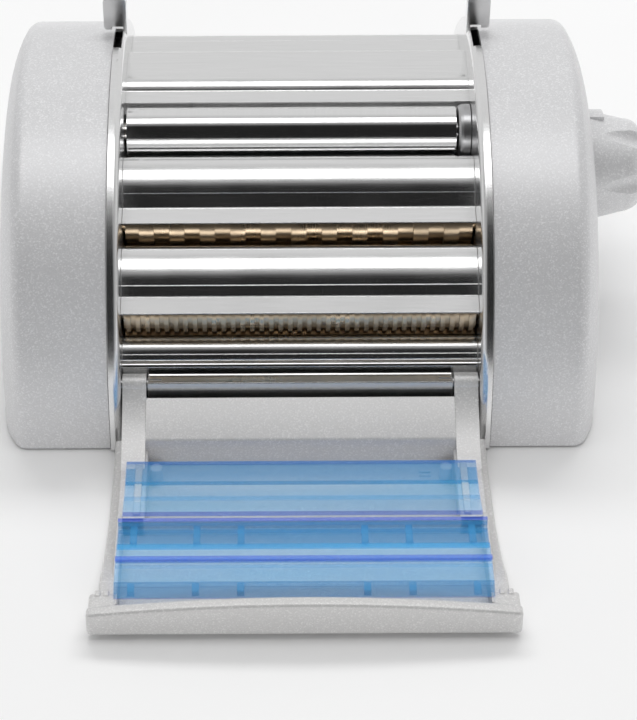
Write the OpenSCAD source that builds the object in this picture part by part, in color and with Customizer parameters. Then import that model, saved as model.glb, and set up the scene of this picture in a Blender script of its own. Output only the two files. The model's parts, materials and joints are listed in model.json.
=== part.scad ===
// Motor-driven pasta roller machine: one pair of smooth rollers, a wide and a fine
// cutter pair, and a curved front lid that opens down onto the table.
// X runs across the machine, Y to the back and Z up; the casings' arc is centred on Y = 0.

/* [Frame] */
// Clear width between the two side plates
gap_w = 150; // [148:1:156]
// Outer radius of the arched casings
arc_r = 119.5; // [118:0.5:121]
// Height of the arc's centre above the table
arc_z = 0.8; // [0.6:0.1:1.2]
// Thickness of the side plates
plate_t = 1.5; // [1:0.1:1.8]
// How far the plates' rims stand above the casings
rim_proud = 1.5; // [1:0.1:2]
// Width of the rims, across the machine
rim_w = 5; // [4.6:0.1:6]
// Outside radius of the rims' bend
rim_bend = 3; // [2.4:0.1:3.6]
// Thickness of the cover and guide sheets
sheet_t = 0.9; // [0.7:0.1:1.1]

/* [Casings] */
// Width of each casing
casing_w = 48; // [46:0.5:50]
// Wall of the casings
casing_t = 2.4; // [1.8:0.1:3]
// Tight rounding at the casings' outer edge
edge_round = 6; // [4:0.5:9]
// Wide rounding that leads from the edge to the casings' side
brow_round = 45; // [40:1:46]
// How far the casings' sides fall away from centre to edge
casing_taper = 2.3; // [0:0.1:3]
// Height of the rubber feet below the base pan
foot_h = 2; // [1.5:0.5:3]
// Radius of the rubber feet
foot_r = 8; // [6:0.5:10]

/* [Rollers] */
// Radius of the smooth rollers
smooth_r = 10.5; // [9.5:0.1:11]
// Smallest gap between the smooth rollers
smooth_gap = 0.3; // [0.2:0.05:0.6]
// How far the thickness knob opens the smooth rollers
gap_travel = 2.2; // [1.5:0.1:2.4]
// Outer radius of both pairs of cutters
cutter_r = 9.5; // [9.2:0.1:9.8]
// How far the cutters' rings reach into each other
cutter_bite = 1; // [0.6:0.1:1.2]
// Depth of the cutters' grooves
groove_depth = 1.3; // [1.25:0.05:1.8]
// Width of the wide noodles
wide_strip = 6.5; // [6:0.1:7]
// Width of the fine noodles
fine_strip = 2; // [1.8:0.1:2.4]
// Side play between a ring and its groove
ring_play = 0.1; // [0.05:0.01:0.15]
// Radius of the rollers' journals
journal_r = 4; // [3.5:0.1:4.2]
// Lean of each pair of rollers, the lower one to the back
pair_lean = 10; // [6:1:14]
// Radial play of every running shaft
run_play = 0.05; // [0.02:0.01:0.08]

/* [Gears] */
// Teeth on each smooth roller's pair gear
smooth_teeth = 11; // [10:1:12]
// Teeth on each cutter's pair gear
cutter_teeth = 18; // [16:1:20]
// Teeth on the drive gears and idlers
drive_teeth = 24; // [24:1:25]
// Teeth on the motor's pinion and on the first reduction pinion
pinion_teeth = 12; // [12:1:13]
// Teeth on the gear that the motor drives
motor_gear_teeth = 60; // [58:1:62]
// Teeth on the second reduction gear
second_gear_teeth = 48; // [46:1:50]
// Teeth on the pinion that drives the upper smooth roller
output_teeth = 16; // [16:1:17]
// Width of each gear
gear_w = 5; // [4:0.5:5.5]
// Play between the teeth, along the pitch circle
backlash = 0.2; // [0.15:0.01:0.3]

/* [Thickness knob] */
// Largest radius of the knob
knob_r = 24.5; // [22:0.5:26]
// Length of the knob
knob_l = 26; // [22:1:30]
// Turn of the knob from its first to its last position
knob_turn = 150; // [120:5:160]
// Radius of the knob's six flutes
flute_r = 6; // [5:0.5:8]
// Depth of the flutes at the knob's end
flute_depth = 5; // [3:0.5:6]
// Radius of the spindle
spindle_r = 3.5; // [3:0.1:3.8]

/* [Lid] */
// Wall of the lid's shell
lid_t = 3.2; // [2.8:0.1:3.6]
// Gap between the closed lid and the rims
lid_gap = 0.6; // [0.5:0.1:1]
// Width of the lid's shell
lid_w = 155; // [154:0.5:157]
// Width of the lid's grip
grip_w = 168; // [160:1:172]
// Height of the grip above the table when the lid is open
grip_h = 18; // [15:0.5:20]
// Radius of the hinge knuckles
knuckle_r = 4.5; // [4:0.1:5]
// Height of the hinge axis
hinge_z = 27; // [26:0.5:28]
// How far the hinge axis lies inside the front of the arc
hinge_inset = 10.5; // [9.5:0.5:11.5]
// Thickness of the clear guides in the lid
clear_t = 2; // [1.6:0.1:2.4]

/* [Hidden] */
$fn = 64;

// Plates, rims and casings, from the middle outwards
inner_x = gap_w / 2;
outer_x = inner_x + plate_t;
rim_r = arc_r + rim_proud;
seat_gap = 0.3;
casing_x = inner_x + rim_w + seat_gap;
casing_end_x = casing_x + casing_w;

// A place on the plates, as [y, z] in shares of the arc's radius
function on_plate(y, z) = [0, arc_z] + arc_r * [y, z];

// Roller centres as [y, z]; each lower roller lies under its upper one along the lean
smooth_at = on_plate(-0.104, 0.75);
wide_at = on_plate(-0.419, 0.565);
fine_at = on_plate(-0.705, 0.389);
lean = [sin(pair_lean), -cos(pair_lean)];
lean_angle = pair_lean - 90;
smooth_centres = 2 * smooth_r + smooth_gap;
cutter_centres = 2 * cutter_r - cutter_bite;
lower_smooth_at = smooth_at + smooth_centres * lean;
lower_wide_at = wide_at + cutter_centres * lean;
lower_fine_at = fine_at + cutter_centres * lean;
groove_r = cutter_r - groove_depth;

// End faces of the rollers
end_play = 1;
cutter_half = inner_x - end_play;
disc_w = 5.5;
disc_r = smooth_r + 1.1;
block_w = 3;
block_x = inner_x - 0.4 - block_w;
lower_smooth_half = block_x - 0.5;

// Bushes in the plates
bush_r = 6.5;
bush_flange_r = 8.5;
bush_flange_t = 1.2;
bush_end_x = outer_x + bush_flange_t;

// Gear planes in the left casing, as distances outwards from the middle
plane_gap = 1.2;
pair_x = bush_end_x + 0.8;
drive_x = pair_x + gear_w + plane_gap;
second_x = drive_x + gear_w + plane_gap;
first_x = second_x + gear_w + plane_gap;
bridge_x = first_x + gear_w + plane_gap;
bridge_t = 2;
pressure = 20;
addendum = 0.75;
dedendum = 1.1;

// The idlers bridge the rollers, so the drive train's module follows the arc
drive_module = arc_r / 119.5;
drive_pitch_r = drive_teeth * drive_module / 2;
output_pitch_r = output_teeth * drive_module / 2;
smooth_module = smooth_centres / smooth_teeth;
cutter_module = cutter_centres / cutter_teeth;

// Shaft centres of the drive train
rear_idler_at = meeting_point(smooth_at, wide_at, 2 * drive_pitch_r);
front_idler_at = meeting_point(wide_at, fine_at, 2 * drive_pitch_r);
second_angle = -10;
second_at = smooth_at + (drive_pitch_r + output_pitch_r) * [cos(second_angle), sin(second_angle)];
first_angle = -30;
first_at = second_at + (second_gear_teeth + pinion_teeth) / 2 * drive_module
    * [cos(first_angle), sin(first_angle)];
motor_angle = -92;
motor_at = first_at + (motor_gear_teeth + pinion_teeth) / 2 * drive_module
    * [cos(motor_angle), sin(motor_angle)];
stud_r = 3;

// Tooth phases, so that every pair is in mesh at rest
rear_idler_phase = mesh_phase(0, drive_teeth, bearing(smooth_at, rear_idler_at), drive_teeth);
wide_phase = mesh_phase(rear_idler_phase, drive_teeth, bearing(rear_idler_at, wide_at), drive_teeth);
front_idler_phase = mesh_phase(wide_phase, drive_teeth, bearing(wide_at, front_idler_at), drive_teeth);
fine_phase = mesh_phase(front_idler_phase, drive_teeth, bearing(front_idler_at, fine_at), drive_teeth);
second_phase = mesh_phase(0, drive_teeth, second_angle, output_teeth);
first_phase = mesh_phase(second_phase, second_gear_teeth, first_angle, pinion_teeth);
motor_phase = mesh_phase(first_phase, motor_gear_teeth, motor_angle, pinion_teeth);

// Thickness adjustment: cams on the spindle move the lower roller's bearing blocks
spindle_at = smooth_at + [17.6, -29.9];
cam_throw = gap_travel / (2 * sin(knob_turn / 2));
cam_r = spindle_r + cam_throw + 0.9;
cam_play = 0.25;
cam_angle = lean_angle - 90 - knob_turn / 2;
cam_lift = cam_throw * sin(knob_turn / 2);
pin_r = 2.5;
pin_places = [[-2, -11], [-2, -20]];
spindle_local = turned(spindle_at - lower_smooth_at, -pair_lean);

// Lid, in its open pose on the table; its inner arc then has its lowest point above the table
hinge_at = [hinge_inset - arc_r, hinge_z];
hinge_pin_r = 2.5;
lid_inner_r = rim_r + lid_gap;
lid_centre_z = lid_inner_r + lid_t;
hinge_reach = norm(hinge_at - [0, arc_z]);
lid_centre = [hinge_at[0] - sqrt(pow(hinge_reach, 2) - pow(lid_centre_z - hinge_z, 2)), lid_centre_z];
lid_half_in = inner_x - 0.5;
arm_w = 10;
lid_end_y = hinge_at[0] - arc_r - 5;

// Screws, rods, posts and feet, as [y, z] on the plates and [x, y] on the pan
rod_r = 3;
rod_stub_r = 2;
rod_places = [on_plate(-0.703, 0.094), on_plate(0.586, 0.094), on_plate(0.77, 0.36), smooth_at + [26.4, 9.8]];
casing_boss_places = [on_plate(-0.82, 0.094), on_plate(0.82, 0.094), on_plate(0.653, 0.546),
    on_plate(-0.167, 0.244)];
first_gear_r = motor_gear_teeth / 2 * drive_module;
bridge_post_places = [for (p = [[6.5, 26], [17.7, -62], [31.3, 201]])
    first_at + (first_gear_r + p[0]) * [cos(p[1]), sin(p[1])]];
boss_r = 4;
post_r = 3.5;
screw_r = 1.6;
screw_head_r = 3.2;
screw_head_t = 1.8;
hole_play = 0.05;
foot_x = casing_end_x - 30.3;
foot_places = [for (x = [-foot_x, foot_x], share = [-0.52, 0.7]) [x, share * arc_r]];
pan_t = 1.2;
pan_play = 2;
pan_top = foot_h + pan_t;

// ---------------------------------------------------------------- geometry helpers

function turned(p, a) = [p[0] * cos(a) - p[1] * sin(a), p[0] * sin(a) + p[1] * cos(a)];
function bearing(p, q) = atan2(q[1] - p[1], q[0] - p[0]);

// The point at the same distance from p and from q, above the line from p forward to q
function meeting_point(p, q, reach) =
    let (half = norm(q - p) / 2, rise = sqrt(reach * reach - half * half), along = (q - p) / norm(q - p))
    (p + q) / 2 + rise * [along[1], -along[0]];

// Phase of a gear that meshes with one of known phase, in the direction given
function mesh_phase(phase, teeth, direction, other_teeth) =
    direction + 180 - 360 / other_teeth * (0.5 - (direction - phase) * teeth / 360);

// Turns children drawn in the y-z plane so that their third axis runs along x
module about_x(at = [0, 0], x = 0) {
    translate([x, at[0], at[1]]) rotate([90, 0, 90]) children();
}

// A solid of the given width along x, from a shape drawn in the y-z plane
module across(from_x, to_x) {
    about_x(x = from_x) linear_extrude(to_x - from_x) children();
}

// A ring or disc on an x axis
module disc_x(at, r, from_x, to_x) {
    about_x(at, from_x) cylinder(r = r, h = to_x - from_x);
}

// An arc of a turned profile: x of the profile is the radius, y runs along the machine
module arc_sweep(at, from_angle, to_angle) {
    about_x(at) rotate([0, 0, from_angle]) rotate_extrude(angle = to_angle - from_angle, $fn = 180)
        children();
}

module rounded_square(size, r) {
    difference() {
        square(size);
        for (corner = [[0, 0, 0], [1, 0, 90], [1, 1, 180], [0, 1, 270]])
            translate([corner[0] * size[0], corner[1] * size[1]]) rotate(corner[2]) difference() {
                translate([-1, -1]) square(r + 1);
                translate([r, r]) circle(r);
            }
    }
}

// One bend of a sheet: a sector of a ring from start angle through turn
module bend_2d(r, t, start, turn) {
    reach = 2 * (r + t);
    intersection() {
        difference() {
            circle(r + t);
            circle(r);
        }
        polygon([[0, 0], for (k = [0:2]) reach * [cos(start + turn * k / 2), sin(start + turn * k / 2)]]);
    }
}

// A bent sheet seen from its end; each step is [straight length, turn, inside radius],
// and the last step, with no turn, is the straight end. The flats lie a hair inside the faces
// of the bends and reach a little way into them.
flat_inset = 0.02;
flat_lap = 0.1;
module bent_sheet_2d(t, steps, i = 0) {
    if (i < len(steps)) {
        turn = steps[i][1];
        r = steps[i][2];
        pivot = turn > 0 ? t + r : -r;
        if (steps[i][0] > 0) translate([i > 0 ? -flat_lap : 0, flat_inset])
            square([steps[i][0] + (i > 0 ? flat_lap : 0) + (turn != 0 ? flat_lap : 0), t - 2 * flat_inset]);
        if (turn != 0) translate([steps[i][0], pivot]) {
            bend_2d(r, t, turn > 0 ? -90 : 90, turn);
            rotate(turn) translate([0, -pivot]) bent_sheet_2d(t, steps, i + 1);
        }
    }
}

// ---------------------------------------------------------------- gears

function involute(base, r) = sqrt(pow(max(r / base, 1), 2) - 1) * 180 / PI
    - atan(sqrt(pow(max(r / base, 1), 2) - 1));

// Half of a tooth's angle at a radius
function half_tooth(m, teeth, r) =
    let (pitch = m * teeth / 2, base = pitch * cos(pressure))
    90 / teeth - backlash / 4 / pitch * 180 / PI + involute(base, pitch) - involute(base, r);

module gear_2d(m, teeth) {
    pitch = m * teeth / 2;
    root = pitch - dedendum * m;
    foot = max(root + 0.01, pitch * cos(pressure));
    tip = pitch + addendum * m;
    flank = [[root, foot], [foot, foot], [(foot + tip) / 2, (foot + tip) / 2], [tip, tip]];
    polygon([for (k = [0:teeth - 1], side = [-1, 1], i = [0:3])
        let (step = flank[side < 0 ? i : 3 - i], a = k * 360 / teeth + side * half_tooth(m, teeth, step[1]))
        step[0] * [cos(a), sin(a)]]);
}

// A gear in the left casing; its near face is at distance x from the middle
module gear(at, m, teeth, phase, x, w, bore) {
    about_x(at, -x - w) linear_extrude(w) difference() {
        rotate(phase) gear_2d(m, teeth);
        circle(bore);
    }
}

// ---------------------------------------------------------------- side plates and casings

module mirrored_to(side) {
    if (side > 0) children();
    else mirror([1, 0, 0]) children();
}

// The plate's sheet and its rim, which is bent outwards
module plate_section() {
    translate([0, inner_x]) square([rim_r - rim_bend, plate_t]);
    translate([rim_r - rim_bend, inner_x + rim_bend]) intersection() {
        difference() {
            circle(rim_bend);
            circle(rim_bend - plate_t);
        }
        translate([0, -rim_bend]) square(rim_bend);
    }
    translate([rim_r - plate_t, inner_x + rim_bend]) square([plate_t, rim_w - rim_bend]);
}

ear_y = 27;
ear_w = 10;
ear_h = 15;
ear_depth = 8;

// The upright ear: the part of the rim that is bent up behind the notch
module plate_ear() {
    top = arc_z + rim_r + ear_h - 3;
    translate([inner_x, ear_y, arc_z + rim_r - 16]) cube([plate_t, ear_depth, top - arc_z - rim_r + 12]);
    translate([inner_x, ear_y + plate_t, top - ear_h]) rotate([90, 0, 0]) linear_extrude(plate_t)
        rounded_square([ear_w, ear_h], 1.5);
}

bush_places = [smooth_at, wide_at, lower_wide_at, fine_at, lower_fine_at, spindle_at];

// What is cut away at the bottom: all below the arc's centre, and for a plate the pan's place too
module below_arc() {
    translate([-200, -200, -50]) cube([400, 400, 50 + arc_z]);
}

module pan_place() {
    half_y = arc_r - casing_t - pan_play + 0.3;
    translate([-200, -half_y, -50]) cube([400, 2 * half_y, 50 + pan_top]);
}

module plate_hole(at, r) {
    disc_x(at, r + hole_play, inner_x - 1, outer_x + 1);
}

module side_plate(side) {
    notch_from = acos((ear_y + plate_t) / rim_r);
    notch_to = acos((ear_y - 20) / rim_r);
    mirrored_to(side) difference() {
        union() {
            arc_sweep([0, arc_z], 0, 180) plate_section();
            plate_ear();
        }
        below_arc();
        pan_place();
        arc_sweep([0, arc_z], notch_from, notch_to)
            translate([rim_r - rim_bend - 0.5, outer_x]) square([rim_bend + 2, rim_w]);
        for (at = bush_places) plate_hole(at, bush_r);
        for (step = [-0.4, gap_travel + 0.4]) plate_hole(lower_smooth_at + step * lean, journal_r + 0.8);
        for (at = rod_places) plate_hole(at, rod_stub_r);
        for (at = casing_boss_places) plate_hole(at, screw_r);
        for (at = pin_places) plate_hole(lower_smooth_at + turned(at, pair_lean), pin_r);
        plate_hole(hinge_at, hinge_pin_r);
        if (side < 0) {
            plate_hole(motor_at, motor_neck_r);
            for (at = motor_screw_places) plate_hole(at, screw_r);
        }
    }
}

side_slope = atan(casing_taper / arc_r);
brow_angle = 60;
brow_r = arc_r - edge_round - (brow_round - edge_round) * cos(brow_angle);
brow_at = [brow_r, casing_end_x - (brow_round + brow_r * sin(side_slope)) / cos(side_slope)];
edge_at = brow_at + (brow_round - edge_round) * [cos(brow_angle), sin(brow_angle)];

function arc_points(centre, r, from, to, steps) =
    [for (k = [0:steps]) let (a = from + (to - from) * k / steps) centre + r * [cos(a), sin(a)]];

// Half of a casing's outline in section, as [radius, x]: the tight edge runs into the wide brow
// and that into the nearly flat side; inset gives the cavity
module casing_section(inset) {
    low = casing_x - (inset > 0 ? 1 : 0);
    top = casing_end_x - inset / cos(side_slope);
    polygon(concat(
        [[0, low], [arc_r - inset, low]],
        arc_points(edge_at, edge_round - inset, 0, brow_angle, 8),
        arc_points(brow_at, brow_round - inset, brow_angle + 3, 90 - side_slope, 8),
        [[0, top]]));
}

module casing_boss(at) {
    disc_x(at, boss_r, outer_x, side_x(at) - casing_t / 2);
}

module casing_shell() {
    difference() {
        arc_sweep([0, arc_z], 0, 180) casing_section(0);
        arc_sweep([0, arc_z], 0, 180) casing_section(casing_t);
        below_arc();
    }
}

// Where the casing's side lies at a distance from the arc's centre
function side_x(at) = casing_end_x - casing_taper / arc_r * norm(at - [0, arc_z]);

screw_depth = 12;
switch_at = on_plate(0.318, 0.328);
switch_size = [14, 21];
inlet_at = on_plate(0.703, 0.177);
inlet_r = 6;

module left_casing() {
    color("silver") mirrored_to(-1) difference() {
        union() {
            casing_shell();
            for (at = casing_boss_places) casing_boss(at);
        }
        for (at = casing_boss_places) disc_x(at, screw_r, outer_x - 1, outer_x + screw_depth + 1);
        translate([casing_end_x - 20, switch_at[0] - switch_size[0] / 2, switch_at[1] - switch_size[1] / 2])
            cube([30, switch_size[0], switch_size[1]]);
        disc_x(inlet_at, inlet_r, casing_end_x - 20, casing_end_x + 5);
    }
}

module right_casing() {
    color("silver") difference() {
        union() {
            casing_shell();
            for (at = casing_boss_places) casing_boss(at);
            disc_x(spindle_at, spindle_r + 4, casing_end_x - 14, side_x(spindle_at) - casing_t / 2);
        }
        for (at = casing_boss_places) disc_x(at, screw_r, outer_x - 1, outer_x + screw_depth + 1);
        disc_x(spindle_at, spindle_r + run_play, casing_x, casing_end_x + 5);
    }
}

module left_side_plate() { color("gainsboro") side_plate(-1); }
module right_side_plate() { color("gainsboro") side_plate(1); }

module casing_screws() {
    color("dimgray") for (side = [-1, 1], at = casing_boss_places) mirrored_to(side) {
        disc_x(at, screw_r - hole_play, inner_x - 0.5, outer_x + screw_depth);
        disc_x(at, screw_head_r, inner_x - screw_head_t, inner_x);
    }
}

// ---------------------------------------------------------------- base, rods and bar

// The pan fills the casings' open bottom, so its outline follows theirs a little way inside
module base_pan() {
    inset = casing_t + pan_play;
    color("dimgray") translate([0, 0, foot_h]) linear_extrude(pan_t) {
        square([2 * casing_x, 2 * (arc_r - inset)], center = true);
        for (x_side = [0, 1], y_side = [0, 1]) mirror([x_side, 0]) mirror([0, y_side])
            translate([casing_x - 1, 0]) intersection() {
                mirror([1, -1]) translate([0, 1 - casing_x]) casing_section(inset);
                square([casing_w + 2, arc_r]);
            }
    }
}

module rubber_feet() {
    color("black") for (at = foot_places) translate([at[0], at[1], 0]) rotate_extrude()
        polygon([[0, 0], [foot_r - 0.8, 0], [foot_r, 0.8], [foot_r, foot_h], [0, foot_h]]);
}

module tie_rods() {
    color("silver") for (at = rod_places) {
        disc_x(at, rod_r, -inner_x, inner_x);
        disc_x(at, rod_stub_r, -outer_x - 2.6, outer_x + 2.6);
    }
}

module tie_rod_nuts() {
    color("gray") for (side = [-1, 1], at = rod_places) mirrored_to(side) about_x(at, outer_x)
        linear_extrude(2) difference() {
            circle(3.6, $fn = 6);
            circle(rod_stub_r + hole_play);
        }
}

bar_half_x = inner_x - arm_w - 1;
bar_size = [6.8, 7.5];
bar_pin_depth = 6;

// The bar across the front, carried by the two hinge pins
module front_crossbar() {
    color("gainsboro") difference() {
        across(-bar_half_x, bar_half_x) translate([hinge_at[0] - bar_size[0] / 2, hinge_at[1] - 3.5])
            rounded_square(bar_size, 1.2);
        disc_x(hinge_at, hinge_pin_r + hole_play, -bar_half_x - 1, -bar_half_x + bar_pin_depth + 0.3);
        disc_x(hinge_at, hinge_pin_r + hole_play, bar_half_x - bar_pin_depth - 0.3, bar_half_x + 1);
    }
}

module lid_hinge_pins() {
    color("dimgray") for (side = [-1, 1]) mirrored_to(side) {
        disc_x(hinge_at, hinge_pin_r, bar_half_x - bar_pin_depth, outer_x + 0.5);
        disc_x(hinge_at, hinge_pin_r + 1.5, outer_x, outer_x + 1.6);
    }
}

// ---------------------------------------------------------------- covers and guides

// A bent sheet across the machine; it starts at a point, in a direction, with its face on that line
module sheet(start, direction, steps) {
    across(-inner_x, inner_x) translate(start) rotate(direction) bent_sheet_2d(sheet_t, steps);
}

visor_l = 7.5;
hump_r = 7.6;

module top_cover() {
    lip_r = 8.6;
    hem_r = 1;
    hem_l = 2.5;
    back_corner = smooth_at + [42.4, 15];
    color("gainsboro") sheet(back_corner + [hem_r + sheet_t, -hem_r - sheet_t - hem_l], 90,
        [[hem_l, 90, hem_r], [20, 47, lip_r], [0.4, -35, 0.8], [visor_l - 0.6, 0, 1]]);
}

module rear_cover() {
    back_r = arc_r - 7.5;
    back_turn = 50;
    table_l = back_r * cos(back_turn) - smooth_at[0] - 28.4;
    color("gainsboro") sheet([back_r, pan_top], 90,
        [[0, back_turn, back_r - sheet_t], [0.8, 44.5, 13.1], [table_l, 22, 5], [5.3, 0, 1]]);
}

module upper_guide() {
    flat_l = norm(wide_at - smooth_at) - 19;
    color("gainsboro") sheet(smooth_at + [-5.1, -11.3], 163.6,
        [[flat_l, 68.4, hump_r], [4.8, -40, 1], [visor_l, 0, 1]]);
}

module middle_guide() {
    flat_l = norm(fine_at - wide_at) - 17.7;
    color("gainsboro") sheet(wide_at + [-5.4, -11.1], 165,
        [[flat_l, 67, hump_r], [2.7, -32, 1], [visor_l, 0, 1]]);
}

module lower_guide() {
    start = fine_at + [-4.2, -9.9];
    flat_l = start[0] - hinge_at[0] - 13.9;
    color("gainsboro") sheet(start, 180,
        [[flat_l, 55, 4.5], [2.2, -35, 0.8], [1.4, 70, 0.8], [5.5, 0, 1]]);
}

// A comb: fingers lie in the grooves of a lower cutter and strip the noodles onto the guide
module comb(at, pitch, groove_w) {
    rest_r = groove_r + 0.25;
    finger_t = 0.8;
    finger_l = 10;
    finger_w = groove_w - 0.9;
    half_count = floor((inner_x - groove_w) / pitch);
    module in_place() translate(at) rotate(140) translate([rest_r, 0]) children();
    across(-inner_x, inner_x) in_place() translate([0, finger_l]) square([3, 3]);
    for (k = [-half_count:half_count]) across(k * pitch - finger_w / 2, k * pitch + finger_w / 2)
        in_place() square([finger_t, finger_l + 0.5]);
}

module wide_comb() { color("whitesmoke") comb(lower_wide_at, 2 * wide_strip, wide_strip + ring_play); }
module fine_comb() { color("whitesmoke") comb(lower_fine_at, 2 * fine_strip, fine_strip + ring_play); }

// ---------------------------------------------------------------- rollers and cutters

// A roller on two journals that end at the given places left and right
module roller(at, left_half, right_half, left_end, right_end) {
    disc_x(at, smooth_r, -left_half, right_half);
    disc_x(at, journal_r, -left_end, right_end);
}

// A cutter turned in one piece; its rings stand at whole pitches plus the shift
module cutter(at, strip, shift, left_end) {
    pitch = 2 * strip;
    half_ring = (strip - ring_play) / 2;
    count = ceil(cutter_half / pitch);
    disc_x(at, groove_r, -cutter_half, cutter_half);
    disc_x(at, journal_r, -left_end, bush_end_x);
    for (k = [-count - 1:count], x = [(k + shift) * pitch])
        if (abs(x) - half_ring < cutter_half - 0.5)
            disc_x(at, cutter_r, max(x - half_ring, -cutter_half), min(x + half_ring, cutter_half));
}

module bushes() {
    for (at = bush_places) let (bore = (at == spindle_at ? spindle_r : journal_r) + run_play)
        about_x(at, inner_x) difference() {
            union() {
                cylinder(r = bush_r, h = plate_t);
                translate([0, 0, plate_t]) cylinder(r = bush_flange_r, h = bush_flange_t);
            }
            translate([0, 0, -1]) cylinder(r = bore, h = plate_t + bush_flange_t + 2);
        }
}

module left_bushes() { color("darkgoldenrod") mirrored_to(-1) bushes(); }
module right_bushes() { color("darkgoldenrod") bushes(); }

pair_end = pair_x + gear_w;
drive_end = drive_x + gear_w;

module upper_smooth_roller() {
    color("silver") roller(smooth_at, cutter_half, inner_x - disc_w - end_play, drive_end, bush_end_x);
}

module lower_smooth_roller() {
    color("silver") roller(lower_smooth_at, lower_smooth_half, inner_x - disc_w - end_play,
        pair_end, block_x + block_w);
}

module roller_end_disc() {
    color("gray") about_x(smooth_at, inner_x - disc_w - 0.3) rotate_extrude() polygon([
        [journal_r, 0], [disc_r - 2.5, 0], [disc_r - 1.2, 0.4], [disc_r - 0.4, 1.3], [disc_r, 2.5],
        [disc_r, disc_w], [journal_r, disc_w]]);
}

module upper_wide_cutter() { color("goldenrod") cutter(wide_at, wide_strip, 0, drive_end); }
module lower_wide_cutter() { color("goldenrod") cutter(lower_wide_at, wide_strip, 0.5, pair_end); }
module upper_fine_cutter() { color("goldenrod") cutter(fine_at, fine_strip, 0, drive_end); }
module lower_fine_cutter() { color("goldenrod") cutter(lower_fine_at, fine_strip, 0.5, pair_end); }

// The gears of a pair: the lower one is placed in mesh with the upper one
module upper_pair_gear(at, m, teeth) { gear(at, m, teeth, 0, pair_x, gear_w, journal_r); }
module lower_pair_gear(at, m, teeth) {
    gear(at, m, teeth, mesh_phase(0, teeth, lean_angle, teeth), pair_x, gear_w, journal_r);
}

module upper_smooth_gear() { color("gray") upper_pair_gear(smooth_at, smooth_module, smooth_teeth); }
module lower_smooth_gear() { color("gray") lower_pair_gear(lower_smooth_at, smooth_module, smooth_teeth); }
module upper_wide_gear() { color("gray") upper_pair_gear(wide_at, cutter_module, cutter_teeth); }
module lower_wide_gear() { color("gray") lower_pair_gear(lower_wide_at, cutter_module, cutter_teeth); }
module upper_fine_gear() { color("gray") upper_pair_gear(fine_at, cutter_module, cutter_teeth); }
module lower_fine_gear() { color("gray") lower_pair_gear(lower_fine_at, cutter_module, cutter_teeth); }

// ---------------------------------------------------------------- drive train

module drive_gear(at, phase, bore) { gear(at, drive_module, drive_teeth, phase, drive_x, gear_w, bore); }

module smooth_drive_gear() { color("white") drive_gear(smooth_at, 0, journal_r); }
module wide_drive_gear() { color("white") drive_gear(wide_at, wide_phase, journal_r); }
module fine_drive_gear() { color("white") drive_gear(fine_at, fine_phase, journal_r); }
module rear_idler() { color("white") drive_gear(rear_idler_at, rear_idler_phase, stud_r + run_play); }
module front_idler() { color("white") drive_gear(front_idler_at, front_idler_phase, stud_r + run_play); }

// A large gear in the outer plane with its pinion in the next plane inwards
module stepped_gear(at, phase, big_teeth, small_teeth, x) {
    gear(at, drive_module, big_teeth, phase, x, gear_w, stud_r + run_play);
    gear(at, drive_module, small_teeth, phase, x - gear_w - plane_gap, gear_w, stud_r + run_play);
    about_x(at, -x) linear_extrude(plane_gap) difference() {
        circle(stud_r + 1.5);
        circle(stud_r + run_play);
    }
}

module second_reduction_gear() {
    color("white") stepped_gear(second_at, second_phase, second_gear_teeth, output_teeth, second_x);
}

module first_reduction_gear() {
    color("white") stepped_gear(first_at, first_phase, motor_gear_teeth, pinion_teeth, first_x);
}

// A stud on the left plate: a collar up to the gear's near face, then the plain shaft
module stud(at, gear_start, end) {
    mirrored_to(-1) {
        disc_x(at, stud_r + 1.5, outer_x, gear_start - seat_gap);
        disc_x(at, stud_r, outer_x, end);
    }
}

module idler_studs() {
    color("silver") for (at = [rear_idler_at, front_idler_at]) {
        stud(at, drive_x, drive_end + 0.5);
        mirrored_to(-1) disc_x(at, stud_r + 1.5, drive_end + seat_gap, drive_end + plane_gap - 0.1);
    }
}

module gear_studs() {
    color("silver") {
        stud(second_at, drive_x, second_x + gear_w + 0.5);
        mirrored_to(-1) disc_x(second_at, stud_r + 1.5, second_x + gear_w + seat_gap, first_x - 0.1);
        stud(first_at, second_x, bridge_x + bridge_t);
    }
}

module bridge_posts() {
    color("silver") mirrored_to(-1) for (at = bridge_post_places) disc_x(at, post_r, outer_x, bridge_x);
}

// The outer support of the first gear's stud: three arms from the stud to the posts
module gear_bridge() {
    color("gray") mirrored_to(-1) about_x(x = bridge_x) linear_extrude(bridge_t) difference() {
        union() {
            translate(first_at) circle(8);
            for (at = bridge_post_places) {
                translate(at) circle(5.5);
                translate(first_at) rotate(bearing(first_at, at)) translate([0, -4])
                    square([norm(at - first_at), 8]);
            }
        }
        translate(first_at) circle(stud_r + hole_play);
    }
}

motor_r = 20;
motor_l = 85;
motor_wall = 1.5;
motor_neck_r = 8;
motor_shaft_r = 2.5;
motor_screw_places = [for (side = [-1, 1]) motor_at + [side * 13, 0]];

module motor_can() {
    color("dimgray") difference() {
        union() {
            disc_x(motor_at, motor_r, -inner_x, motor_l - inner_x);
            disc_x(motor_at, motor_neck_r, -outer_x - 1, motor_l - inner_x + 4);
        }
        disc_x(motor_at, motor_r - motor_wall, -inner_x + 4, motor_l - inner_x - 4);
        disc_x(motor_at, motor_shaft_r + run_play, -outer_x - 2, motor_l - inner_x + 2);
        for (at = motor_screw_places) disc_x(at, screw_r, -inner_x - 1, -inner_x + 3.5);
    }
}

module motor_screws() {
    color("gray") mirrored_to(-1) for (at = motor_screw_places) {
        disc_x(at, screw_r - hole_play, inner_x - 3, outer_x + 0.5);
        disc_x(at, screw_head_r, outer_x, outer_x + screw_head_t);
    }
}

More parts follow.
